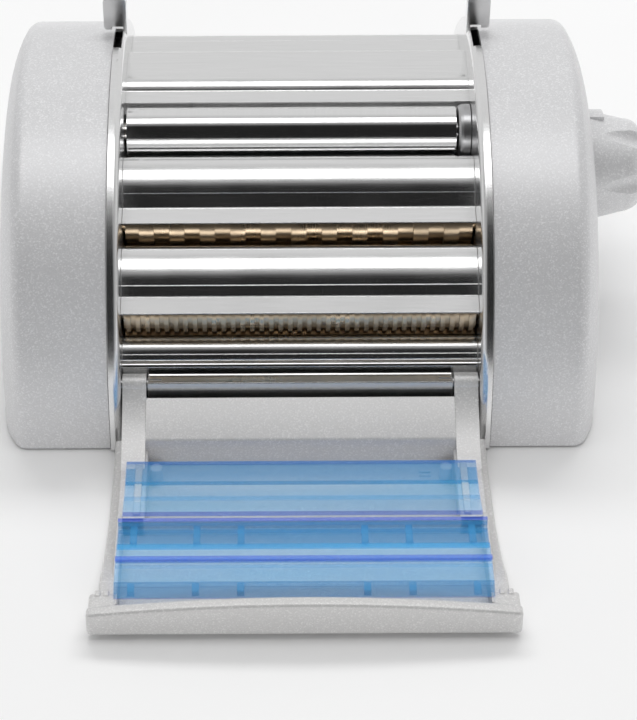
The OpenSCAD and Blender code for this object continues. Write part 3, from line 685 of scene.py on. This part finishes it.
class PASTA_OT_finishes(Operator):
    """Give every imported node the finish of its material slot"""

    bl_idname = "pasta.finishes"
    bl_label = "Finishes"

    def execute(self, context):
        finishes = finishes_by_slot(context.scene)
        for slot, finish in finishes.items():
            FINISH_OF_SLOT[slot] = finish.name
        for row in frame["record"]["subparts"]:
            mesh = NODES[row["node"]].data
            mesh.materials.clear()
            mesh.materials.append(finishes[row["material_slot"]])
        return {"FINISHED"}


class PASTA_OT_guide_sheets(Operator):
    """Bend the three polished guides: each climbs a ramp, rolls over in a hump and ends in an apron"""

    bl_idname = "pasta.guide_sheets"
    bl_label = "Guide sheets"

    # Where a guide starts, in (y, z) millimetres from the axis of the upper roller or cutter.
    UNDER_SMOOTH = Vector((-5.7, -11.3))
    UNDER_CUTTER = Vector((-4.6, -10))

    def execute(self, context):
        self.sizes = context.scene.guide_sheets
        upper_ramp = (WIDE_AT - SMOOTH_AT).length - 24.4
        middle_ramp = (FINE_AT - WIDE_AT).length - 22.9
        lower_start = FINE_AT + self.UNDER_CUTTER
        lower_ramp = lower_start.x - HINGE_AT.x - 18.9
        visor = (8.3, 0, 1)
        self.guide("upper", SMOOTH_AT + self.UNDER_SMOOTH, upper_ramp, 20.1, 6.1, 40, visor)
        visor = (8.4, 0, 1)
        self.guide("middle", WIDE_AT + self.UNDER_CUTTER, middle_ramp, 21.2, 4.6, 36, visor)
        step, lip = (1.4, 71, 0.8), (4.5, 0, 1)
        self.guide("lower", lower_start, lower_ramp, 8.6, 2.2, 36, step, lip)
        return {"FINISHED"}

    def guide(self, name, start, ramp, hump_radius, face, apron_turn, *apron):
        """The hump turns the sheet over by a right angle in all; the apron stands away from it."""
        sizes = self.sizes
        strip = BentStrip(sizes.half_width, sizes.thickness, start, math.degrees(sizes.ramp_angle))
        climb = (ramp, 46, 2.9)
        hump = (0.5, 44, hump_radius)
        mesh = strip.along(climb, hump, (face, -apron_turn, 0.8), *apron)
        add_piece(name + "_guide_sheet", mesh, "frame", "sheet", (name + "_guide",))


class PASTA_OT_crossbar(Operator):
    """Build the bar that carries the lid's hinge, with a sunk field in its top"""

    bl_idname = "pasta.crossbar"
    bl_label = "Crossbar"

    END_PLAY = 0.1
    EDGE_RADIUS = 0.9

    def execute(self, context):
        packed_end = Vector(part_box("front_crossbar")[1]) / MM
        half = packed_end.x - self.END_PLAY
        bottom, top = HINGE_AT.y - 5.4, HINGE_AT.y + 2.9
        mesh = bmesh.new()
        verts = block(mesh, (-half, HINGE_AT.x - 3.6, bottom), (half, HINGE_AT.x + 3.4, top))
        upper = next(f for f in mesh.faces if all(v.co.z > (top - 0.1) * MM for v in f.verts))
        bmesh.ops.inset_region(mesh, faces=[upper], thickness=1.0 * MM, depth=-0.5 * MM)
        long_edges = [edge for edge in edges_at(verts) if edge.calc_length() > half * MM]
        round_off(mesh, long_edges, self.EDGE_RADIUS, 3)
        add_piece("hinge_crossbar", mesh, "frame", "sheet", ("front_crossbar",))
        return {"FINISHED"}


class LidPlaces:
    """Places in the open lid, in millimetres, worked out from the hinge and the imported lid."""

    def __init__(self, sizes):
        self.underside = 0.4
        self.wall_half = 74.4
        self.floor = sizes.floor / MM
        self.grip_depth = sizes.grip_depth / MM
        self.crown = sizes.grip_crown / MM
        self.flare = sizes.flare / MM
        self.front = LID_LOW.y
        self.grip_half = LID_HIGH.x
        self.grip_top = 18.0
        self.shell_half = 77.5
        self.tray_half = 72.3
        self.tray_front = self.front + self.grip_depth
        self.shell_back = HINGE_AT.x - 16
        self.panel_front = HINGE_AT.x - 23
        self.recess_front = HINGE_AT.x - 66
        self.arc_radius = 121.6
        self.arc_at = Vector((self.front + 69.7, self.arc_radius + self.floor))

    def arc_height(self, y):
        """Height of the lid's inner arc, into which the plates' rims fit when it is closed."""
        return self.arc_at.y - math.sqrt(self.arc_radius**2 - (y - self.arc_at.x) ** 2)


class PASTA_OT_lid_tray(Operator):
    """Build the lid's tray: cheeks, floor, panel, recess, arms and the small parts"""

    bl_idname = "pasta.lid_tray"
    bl_label = "Lid tray"

    CHEEK_STEPS = 24
    EYE_RADIUS = 4.5
    ARM_FROM_X, ARM_TO_X = 64.5, 74.5

    # Outlines in (y, z) millimetres from the hinge's axis.
    ARM_OUTLINE = (
        (-4.4, 0.9),
        (-2.2, -3.4),
        (-2.0, -15),
        (-10, -24),
        (-37, -24),
        (-37, -16),
        (-30, -14.2),
        (-23, -11.3),
        (-9, -4),
    )
    PANEL_OUTLINE = (
        (-24.5, -23.6),
        (-23.4, -12.4),
        (-23.1, -11.6),
        (-22.4, -11),
        (-9, -3.4),
        (-6.6, -2.2),
        (-5.9, -2.8),
        (-6.1, -5.4),
        (-9.5, -10),
        (-12, -24),
    )

    def execute(self, context):
        places = LidPlaces(context.scene.lid_shape)
        mesh = bmesh.new()
        self.cheek(mesh, places)
        self.arm(mesh)
        self.rail(mesh, places)
        mirror_sides(mesh)
        self.floor(mesh, places)
        self.panel(mesh)
        self.recess_front(mesh, places)
        add_piece("lid_tray", mesh, "lid", "lid", ("lid_shell",))
        self.small_parts(places)
        return {"FINISHED"}

    def cheek(self, mesh, places):
        """A side wall whose top follows the lid's inner arc; it widens towards the grip."""
        front, back = places.tray_front + 1, places.shell_back
        top = places.grip_top - places.crown
        span = back - front
        ys = [front + span * k / self.CHEEK_STEPS for k in range(self.CHEEK_STEPS + 1)]
        outline = [(y, min(top, places.arc_height(y))) for y in ys]
        outer = [(front, places.underside), *outline, (back, places.underside)]
        verts = prism(mesh, outer, places.tray_half, places.shell_half)
        for vert in verts[len(outer) :]:
            vert.co.x += places.flare * MM * (back - vert.co.y / MM) / span
        sharp = [e for e in mesh.edges if all(v.co.z > 1 * MM and v.co.x > 0.0765 for v in e.verts)]
        round_off(mesh, sharp, 1.2, 3)

    def arm(self, mesh):
        """The arm that carries a hinge eye, flush with the panel beside it."""
        from_x, to_x = self.ARM_FROM_X, self.ARM_TO_X
        prism(mesh, [HINGE_AT + Vector(place) for place in self.ARM_OUTLINE], from_x, to_x)
        turn = Matrix.Rotation(math.pi / 2, 4, "Y")
        bmesh.ops.create_cone(
            mesh,
            cap_ends=True,
            segments=40,
            radius1=self.EYE_RADIUS * MM,
            radius2=self.EYE_RADIUS * MM,
            depth=(to_x - from_x) * MM,
            matrix=Matrix.Translation(point(HINGE_AT, (from_x + to_x) / 2)) @ turn,
        )

    def rail(self, mesh, places):
        """The raised side of the recess and the thin wall that runs on to the grip."""
        low = places.floor - 0.6
        wall, front = places.wall_half, places.recess_front
        block(mesh, (63.5, front - 2.2, low), (wall, places.panel_front - 1, 11), 0.5)
        block(mesh, (places.tray_half, places.tray_front, low), (wall, front, 12.8), 0.4)

    def floor(self, mesh, places):
        """The flat plate under the whole tray."""
        half, front, back = places.shell_half - 2, places.tray_front, places.shell_back
        block(mesh, (-half, front, places.underside), (half, back, places.floor))

    def panel(self, mesh):
        """The sloped plate that rises from the recess to a ledge in front of the crossbar."""
        half = self.ARM_FROM_X + 0.1
        prism(mesh, [HINGE_AT + Vector(place) for place in self.PANEL_OUTLINE], -half, half)

    def recess_front(self, mesh, places):
        """The low wall that closes the recess towards the grip."""
        front = places.recess_front
        block(mesh, (-73, front - 2.2, places.floor - 0.6), (73, front, 11), 0.5)

    def small_parts(self, places):
        """The clips beside the recess, the round studs and the two short ridges."""
        mesh = bmesh.new()
        block(mesh, (65.3, places.recess_front + 1, 10.6), (68.3, places.panel_front - 6, 12), 0.4)
        stud = Matrix.Translation(Vector((60, HINGE_AT.x - 33, places.floor + 3)) * MM)
        made = bmesh.ops.create_cone(
            mesh,
            cap_ends=True,
            segments=32,
            radius1=2.8 * MM,
            radius2=2.6 * MM,
            depth=6 * MM,
            matrix=stud,
        )
        upper = {v for v in made["verts"] if v.co.z > stud.translation.z}
        rim = [e for e in mesh.edges if upper.issuperset(e.verts)]
        round_off(mesh, rim, 0.5, 3)
        mirror_sides(mesh)
        for row in range(2):
            back = HINGE_AT.x - 29.5 - 2.4 * row
            block(mesh, (49, back - 0.9, places.floor - 0.4), (53.8, back, places.floor + 0.9), 0.2)
        add_piece("lid_small_parts", mesh, "lid", "lid")


class PASTA_OT_lid_grip(Operator):
    """Build the lid's crowned grip with its end blocks and feet"""

    bl_idname = "pasta.lid_grip"
    bl_label = "Lid grip"

    GRIP_STEPS = 32

    def execute(self, context):
        places = LidPlaces(context.scene.lid_shape)
        mesh = bmesh.new()
        self.bar(mesh, places)
        self.ends(mesh, places)
        add_piece("lid_grip", mesh, "lid", "lid")
        return {"FINISHED"}

    def bar(self, mesh, places):
        """A bar across the front whose top rises to the middle."""
        low, half = 2.0, places.grip_half
        front, back = places.front, places.tray_front
        block(mesh, (-half, front, low), (half, back, places.grip_top))
        long_edges = [e for e in mesh.edges if abs(e.verts[0].co.x - e.verts[1].co.x) > half * MM]
        bmesh.ops.subdivide_edges(mesh, edges=long_edges, cuts=self.GRIP_STEPS - 1, use_grid_fill=True)
        for vert in mesh.verts:
            if vert.co.z > 10 * MM:
                vert.co.z -= places.crown * MM * (vert.co.x / MM / half) ** 2
        rims = [e for e in mesh.edges if e.calc_face_angle(0) > 1]
        round_off(mesh, rims, 1.6, 4)

    def ends(self, mesh, places):
        """Behind each end of the grip stand a block and a foot."""
        side = bmesh.new()
        front, top = places.front, places.grip_top - places.crown
        block(side, (72.4, front + 3, 2), (83.2, front + 12.5, top + 0.3), 1.4)
        block(side, (74.5, front + 4, 0), (80, front + 9, 3.2), 0.6)
        block(side, (75.4, front + 10.4, top - 1), (77.6, front + 13.6, top + 0.7), 0.5)
        block(side, (78.8, front + 10.4, top - 1), (81, front + 13.6, top + 0.7), 0.5)
        mirror_sides(side)
        data = bpy.data.meshes.new("grip_ends")
        side.to_mesh(data)
        side.free()
        mesh.from_mesh(data)
        bpy.data.meshes.remove(data)


class PASTA_OT_clear_guides(Operator):
    """Bend the three clear blue guides and stand their ribs under them"""

    bl_idname = "pasta.clear_guides"
    bl_label = "Clear guides"

    RIB_PLACES = (24.5, 42, 67)
    RIB_HALF_WIDTH = 1.4

    # Material slots of a guide after the plain one.
    EDGE, DEEP = 1, 2

    def execute(self, context):
        plastic = context.scene.clear_plastic
        self.thickness = plastic.thickness
        deep = tuple(0.6 * c for c in plastic.colour)
        self.linings = (
            clear_blue("guide_edge_blue", plastic.edge_colour, 0.45),
            clear_blue("guide_deep_blue", deep, plastic.body * 2.4),
        )
        tray = [(12.5, -3, 2), (9.5, -12, 3), (13.5, 0, 1)]
        self.guide("tray_guide", 72.0, (-34, -13.8), 180, tray, (-50, -34))
        wide = [(2.5, -90, 1), (8.5, -60, 0.8), (0.5, 60, 0.8), (7.8, 0, 1)]
        rib = [(-87.5, -12.2), (-77.5, -10.2)]
        self.guide("wide_guide", 73.4, (-77, -8.4), 270, wide, (-88, -70), rib)
        fine = [(1, -90, 1), (9.5, 35, 1.5), (4.5, 0, 1)]
        rib = [(-114.8, -13.3), (-110, -10.6)]
        self.guide("fine_guide", 73.6, (-99.2, -8.3), 270, fine, (-200, -109.5), rib)
        return {"FINISHED"}

    def guide(self, name, half_width, start, heading, steps, deep, rib=()):
        """Places and the stretch of deeper blue are given in millimetres from the hinge."""
        strip = BentStrip(half_width * MM, self.thickness, HINGE_AT + Vector(start), heading)
        mesh = strip.along(*steps)
        mesh.normal_update()
        first_end = point(HINGE_AT + Vector(start))
        for face in mesh.faces:
            middle = face.calc_center_median()
            if self.is_cut_edge(face, strip, half_width, first_end):
                face.material_index = self.EDGE
            elif deep[0] < middle.y / MM - HINGE_AT.x < deep[1]:
                face.material_index = self.DEEP
        if rib:
            self.ribs(mesh, *rib)
        piece = add_piece(name + "_clear", mesh, "lid", "clear_guide", (name,))
        # The sheets let most light through, so what lies under them stays bright.
        piece.visible_shadow = False
        for lining in self.linings:
            piece.data.materials.append(lining)

    def is_cut_edge(self, face, strip, half_width, first_end):
        """The two ends and the two sides of the strip, where the plastic looks deepest."""
        end_area = 2 * half_width * MM * self.thickness
        near = (face.calc_center_median() - first_end).length < 0.6 * self.thickness
        is_first = near and face.calc_area() < 1.05 * end_area
        return is_first or face is strip.face or abs(face.normal.x) > 0.9

    def ribs(self, mesh, low, high):
        """Ribs across the guide, between two places given from the hinge."""
        before = set(mesh.faces)
        from_y, from_z = HINGE_AT + Vector(low)
        to_y, to_z = HINGE_AT + Vector(high)
        for x in self.RIB_PLACES:
            for middle in (-x, x):
                low_corner = (middle - self.RIB_HALF_WIDTH, from_y, from_z)
                high_corner = (middle + self.RIB_HALF_WIDTH, to_y, to_z)
                block(mesh, low_corner, high_corner, 0.2)
        for face in mesh.faces:
            if face not in before:
                face.material_index = self.DEEP


def area_light(name, power, size, place, target, mirrored):
    """A soft light; one that is not mirrored leaves the bands in the polished metal to the sky."""
    data = bpy.data.lights.new(name, "AREA")
    data.shape = "RECTANGLE"
    data.size, data.size_y = size
    data.energy = power
    light = bpy.data.objects.new(name, data)
    light.location = place
    light.rotation_euler = (Vector(target) - Vector(place)).to_track_quat("-Z", "Y").to_euler()
    light.visible_glossy = mirrored
    bpy.context.scene.collection.objects.link(light)


class PASTA_OT_studio(Operator):
    """Build the floor, the soft lights and the camera"""

    bl_idname = "pasta.studio"
    bl_label = "Studio"

    FLOOR_SIZE = 6
    FOCAL_LENGTH = 119
    SENSOR_WIDTH = 36

    # The picture's middle lies to the right of the hinge's middle by this share of its longer side.
    SHIFT = 51.8 / 720
    AIM_ABOVE_HINGE = 0.00987

    # The middle of the dark part of the room, as an angle above the horizon in front of the machine.
    DARK_ANGLE = math.radians(30)

    # Grey of the room against the cosine of the angle from that middle.
    SKY_STOPS = ((0.0, 0.86), (0.4, 0.5), (0.78, 0.38), (0.86, 0.02))

    LIGHTS_AIM = (0, -0.05, 0.05)

    def execute(self, context):
        studio = context.scene.studio
        self.floor()
        self.camera(context, studio)
        self.sky(context, studio)
        self.lights(context, studio)
        return {"FINISHED"}

    def floor(self):
        """A pale, nearly white floor."""
        grid = bmesh.new()
        bmesh.ops.create_grid(grid, x_segments=2, y_segments=2, size=self.FLOOR_SIZE)
        mesh = bpy.data.meshes.new("studio_floor")
        grid.to_mesh(mesh)
        grid.free()
        floor = bpy.data.objects.new("studio_floor", mesh)
        finish = Finish("floor_white")
        white = finish.mix(finish.noise(4, 2), (0.92, 0.92, 0.92), (0.95, 0.95, 0.95))
        mesh.materials.append(finish.set(Base_Color=white, Roughness=0.6))
        bpy.context.scene.collection.objects.link(floor)

    def camera(self, context, studio):
        """A camera in front of the open lid that looks down at the hinge."""
        hinge = point(HINGE_AT)
        sine, cosine = math.sin(studio.elevation), math.cos(studio.elevation)
        forward = Vector((0, cosine, -sine))
        up = Vector((0, sine, cosine))
        data = bpy.data.cameras.new("camera")
        data.lens = self.FOCAL_LENGTH
        data.sensor_width = self.SENSOR_WIDTH
        data.shift_x = self.SHIFT
        data.clip_end = 50
        camera = bpy.data.objects.new("camera", data)
        aside = Vector((studio.aside, 0, 0))
        place = hinge - studio.distance * forward + self.AIM_ABOVE_HINGE * up - aside
        right = forward.cross(up)
        turn = Matrix((right, up, -forward)).transposed() @ Matrix.Rotation(studio.roll, 3, "Z")
        camera.matrix_world = Matrix.Translation(place) @ turn.to_4x4()
        context.scene.collection.objects.link(camera)
        context.scene.camera = camera

    def sky(self, context, studio):
        """A white room that is dark only behind the camera, so that polished metal shows black bands."""
        world = bpy.data.worlds.new("studio_world")
        world.use_nodes = True
        tree = world.node_tree
        place = tree.nodes.new("ShaderNodeTexCoord").outputs["Generated"]
        facing = tree.nodes.new("ShaderNodeVectorMath")
        facing.operation = "DOT_PRODUCT"
        facing.inputs[1].default_value = (0, -math.cos(self.DARK_ANGLE), math.sin(self.DARK_ANGLE))
        tree.links.new(place, facing.inputs[0])
        ramp = tree.nodes.new("ShaderNodeValToRGB")
        set_stops(ramp.color_ramp, self.SKY_STOPS)
        tree.links.new(facing.outputs["Value"], ramp.inputs["Fac"])
        background = tree.nodes["Background"]
        tree.links.new(ramp.outputs["Color"], background.inputs["Color"])
        background.inputs["Strength"].default_value = studio.sky
        context.scene.world = world

    def lights(self, context, studio):
        """Three soft lights: behind, above and in front of the machine."""
        context.scene.view_settings.view_transform = "Standard"
        power, aim = studio.key_power, self.LIGHTS_AIM
        area_light("key", power, (1.6, 0.35), (0.1, 0.95, 1.35), aim, mirrored=False)
        area_light("top", power * 0.5, (1.6, 0.6), (0.0, -0.1, 1.6), aim, mirrored=True)
        area_light("front", power * 0.75, (1.8, 0.5), (0.0, -1.7, 0.5), aim, mirrored=False)


OPERATORS = (
    PASTA_OT_finishes,
    PASTA_OT_guide_sheets,
    PASTA_OT_crossbar,
    PASTA_OT_lid_tray,
    PASTA_OT_lid_grip,
    PASTA_OT_clear_guides,
    PASTA_OT_studio,
)


class PASTA_PT_panel(Panel):
    bl_label = "Pasta machine"
    bl_idname = "PASTA_PT_panel"
    bl_space_type = "VIEW_3D"
    bl_region_type = "UI"
    bl_category = "Pasta machine"

    def draw(self, context):
        for key, group in GROUPS.items():
            box = self.layout.box()
            for name in group.__annotations__:
                box.prop(getattr(context.scene, key), name)
        for operator in OPERATORS:
            self.layout.operator(operator.bl_idname)


def register():
    for key, group in GROUPS.items():
        bpy.utils.register_class(group)
        setattr(bpy.types.Scene, key, PointerProperty(type=group))
    for operator in OPERATORS:
        bpy.utils.register_class(operator)
    bpy.utils.register_class(PASTA_PT_panel)


def unregister():
    bpy.utils.unregister_class(PASTA_PT_panel)
    for operator in reversed(OPERATORS):
        bpy.utils.unregister_class(operator)
    for key, group in GROUPS.items():
        delattr(bpy.types.Scene, key)
        bpy.utils.unregister_class(group)


def main():
    """Runs every operator in turn."""
    register()
    for operator in OPERATORS:
        category, name = operator.bl_idname.split(".")
        getattr(getattr(bpy.ops, category), name)()


if __name__ == "__main__":
    main()
